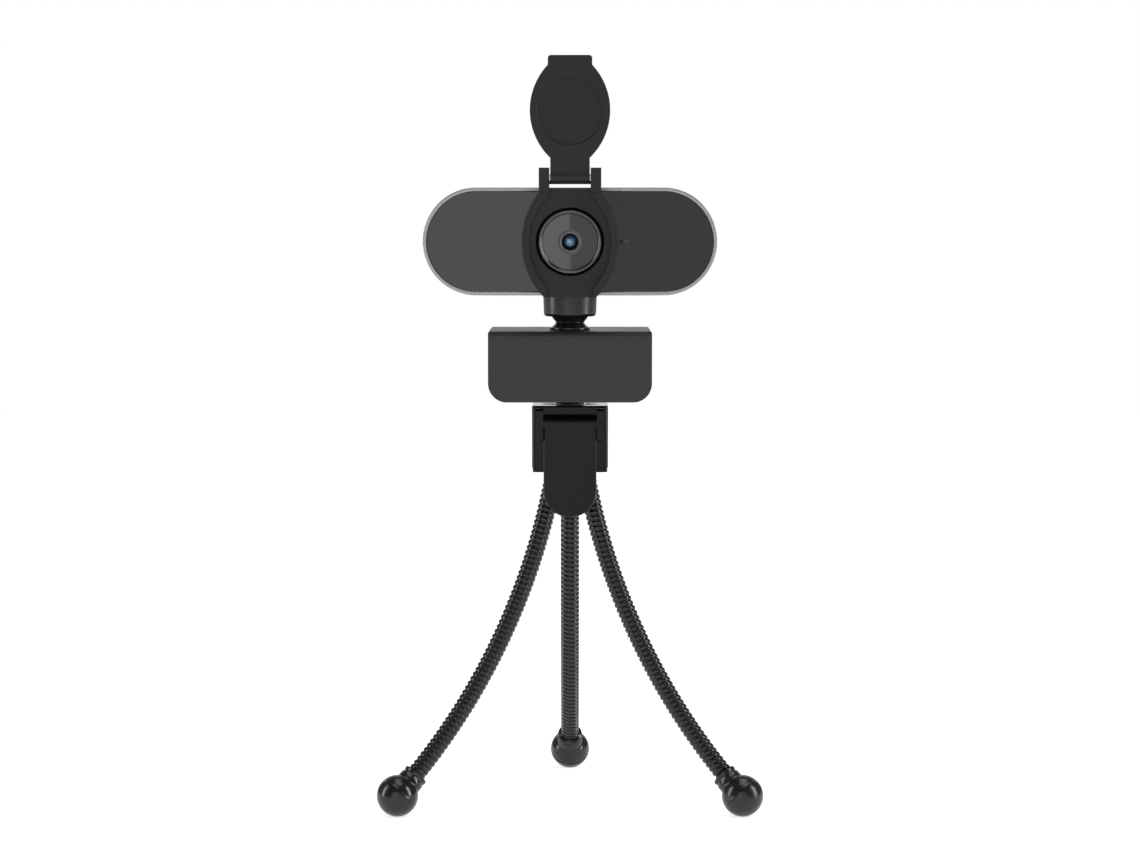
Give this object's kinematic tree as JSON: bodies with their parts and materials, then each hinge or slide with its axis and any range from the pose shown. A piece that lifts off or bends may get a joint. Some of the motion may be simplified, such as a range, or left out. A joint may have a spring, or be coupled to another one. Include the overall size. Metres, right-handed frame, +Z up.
{
  "type": "webcam on tripod",
  "caption": "Slim rounded webcam with a ball-jointed neck, folding monitor clip and hinged lens cover, standing on a flexible three-legged desk tripod.",
  "frame": {"origin": "on the floor, under the middle of the box round the whole object (the tripod axis stands 15.5 mm in front of it)", "axes": "+Z up, the lens looks along -Y, +X to the right of someone looking at the lens"},
  "size_m": [0.1204, 0.106, 0.2357],
  "materials": {
    "black_plastic": "fine satin moulded black plastic",
    "gloss_black": "glossy black plastic",
    "grey_shell": "fine-textured dark grey plastic",
    "dark_metal": "gunmetal painted housing",
    "silver_rim": "satin silver anodised rim",
    "black_rubber": "matte black rubber",
    "steel": "plain steel",
    "brass": "turned brass",
    "optic": "coated lens glass",
    "dark_glass": "black printed cover glass",
    "nylon": "natural nylon",
    "board": "green circuit board",
    "chip": "electronic chip",
    "window": "smoked indicator window",
    "cover_plastic": "matte dark grey cover plastic",
    "gooseneck": "black ribbed gooseneck tube"
  },
  "bodies": {
    "tripod_hub": {"hub_block": "gloss_black", "hub_base_plate": "gloss_black", "hub_screw": "steel", "leg_ferrules": "black_plastic", "socket_retainer": "black_plastic", "brake_plunger": "nylon", "lever_pin": "steel"},
    "lever": {"lock_lever": "gloss_black"},
    "pan_cup": {"friction_cup": "nylon"},
    "clip_leg": {"tripod_ball": "black_plastic", "camera_screw": "steel", "platform_disc": "black_plastic", "platform_pad": "black_rubber", "threaded_insert": "brass", "leg_shell": "grey_shell", "leg_cover_plate": "black_plastic", "leg_pad": "black_rubber", "leg_screws": "steel"},
    "clip_jaw": {"jaw_shell": "grey_shell", "jaw_liner": "black_rubber", "clip_hinge_pin": "steel"},
    "neck_stud": {"neck_ball_stud": "black_plastic", "tension_screw": "steel", "spring_washer": "steel"},
    "head": {"neck_socket": "black_plastic", "neck_screws": "steel", "rear_housing": "dark_metal", "front_rim": "silver_rim", "front_panel": "dark_glass", "lens_collar": "gloss_black", "lens_barrel": "black_plastic", "barrel_trim_ring": "silver_rim", "lens_cover_glass": "dark_glass", "lens_ring": "silver_rim", "lens_tube": "black_plastic", "lens_elements": "optic", "lens_holder": "black_plastic", "infrared_filter": "optic", "image_sensor": "chip", "circuit_board": "board", "board_screws": "steel", "indicator_window": "window", "status_led": "nylon", "microphone": "steel", "cable_grommet": "black_rubber", "cover_base": "cover_plastic", "cover_hinge_pin": "steel"},
    "lid": {"cover_lid": "cover_plastic"},
    "leg_right_upper": {"gooseneck_right_upper": "gooseneck"},
    "leg_right_middle": {"gooseneck_right_middle": "gooseneck"},
    "leg_right_lower": {"gooseneck_right_lower": "gooseneck", "ball_foot_right": "black_rubber"},
    "leg_rear_upper": {"gooseneck_rear_upper": "gooseneck"},
    "leg_rear_middle": {"gooseneck_rear_middle": "gooseneck"},
    "leg_rear_lower": {"gooseneck_rear_lower": "gooseneck", "ball_foot_rear": "black_rubber"},
    "leg_left_upper": {"gooseneck_left_upper": "gooseneck"},
    "leg_left_middle": {"gooseneck_left_middle": "gooseneck"},
    "leg_left_lower": {"gooseneck_left_lower": "gooseneck", "ball_foot_left": "black_rubber"}
  },
  "joints": [
    {"name": "lever_swing", "type": "hinge", "parent": "tripod_hub", "child": "lever", "pos_m": [0, -0.0284, 0.1212], "axis": [-1, 0, 0], "range_deg": [0, 80]},
    {"name": "tripod_pan", "type": "hinge", "parent": "tripod_hub", "child": "pan_cup", "pos_m": [0, -0.0155, 0.124], "axis": [0, 0, 1], "continuous": true},
    {"name": "tripod_tilt", "type": "hinge", "parent": "pan_cup", "child": "clip_leg", "pos_m": [0, -0.0155, 0.124], "axis": [-1, 0, 0], "range_deg": [-15, 15]},
    {"name": "clip_open", "type": "hinge", "parent": "clip_leg", "child": "clip_jaw", "pos_m": [0, 0.0123, 0.1431], "axis": [-1, 0, 0], "range_deg": [0, 120]},
    {"name": "neck_pan", "type": "hinge", "parent": "clip_jaw", "child": "neck_stud", "pos_m": [0, -0.0215, 0.1576], "axis": [0, 0, 1], "continuous": true},
    {"name": "neck_tilt", "type": "hinge", "parent": "neck_stud", "child": "head", "pos_m": [0, -0.0215, 0.1576], "axis": [1, 0, 0], "range_deg": [-20, 20]},
    {"name": "lid_swing", "type": "hinge", "parent": "head", "child": "lid", "pos_m": [0, -0.0412, 0.1983], "axis": [1, 0, 0], "range_deg": [0, 180]},
    {"name": "leg_right_spread", "type": "hinge", "parent": "tripod_hub", "child": "leg_right_upper", "pos_m": [0.0052, -0.0185, 0.1035], "axis": [0.5, 0.866, 0], "range_deg": [-12, 18]},
    {"name": "leg_right_sideways", "type": "hinge", "parent": "leg_right_upper", "child": "leg_right_middle", "pos_m": [0.01551, -0.02446, 0.06751], "axis": [-0.7903, 0.4563, -0.4088], "range_deg": [-25, 25]},
    {"name": "leg_right_curl", "type": "hinge", "parent": "leg_right_middle", "child": "leg_right_lower", "pos_m": [0.0319, -0.03392, 0.03466], "axis": [0.5, 0.866, 0], "range_deg": [-30, 30]},
    {"name": "leg_rear_spread", "type": "hinge", "parent": "tripod_hub", "child": "leg_rear_upper", "pos_m": [0, -0.0095, 0.1035], "axis": [-1, 0, 0], "range_deg": [-12, 18]},
    {"name": "leg_rear_sideways", "type": "hinge", "parent": "leg_rear_upper", "child": "leg_rear_middle", "pos_m": [0, 0.00241, 0.06751], "axis": [0, -0.9126, -0.4088], "range_deg": [-25, 25]},
    {"name": "leg_rear_curl", "type": "hinge", "parent": "leg_rear_middle", "child": "leg_rear_lower", "pos_m": [0, 0.02134, 0.03466], "axis": [-1, 0, 0], "range_deg": [-30, 30]},
    {"name": "leg_left_spread", "type": "hinge", "parent": "tripod_hub", "child": "leg_left_upper", "pos_m": [-0.0052, -0.0185, 0.1035], "axis": [0.5, -0.866, 0], "range_deg": [-12, 18]},
    {"name": "leg_left_sideways", "type": "hinge", "parent": "leg_left_upper", "child": "leg_left_middle", "pos_m": [-0.01551, -0.02446, 0.06751], "axis": [0.7903, 0.4563, -0.4088], "range_deg": [-25, 25]},
    {"name": "leg_left_curl", "type": "hinge", "parent": "leg_left_middle", "child": "leg_left_lower", "pos_m": [-0.0319, -0.03392, 0.03466], "axis": [0.5, -0.866, 0], "range_deg": [-30, 30]}
  ]
}
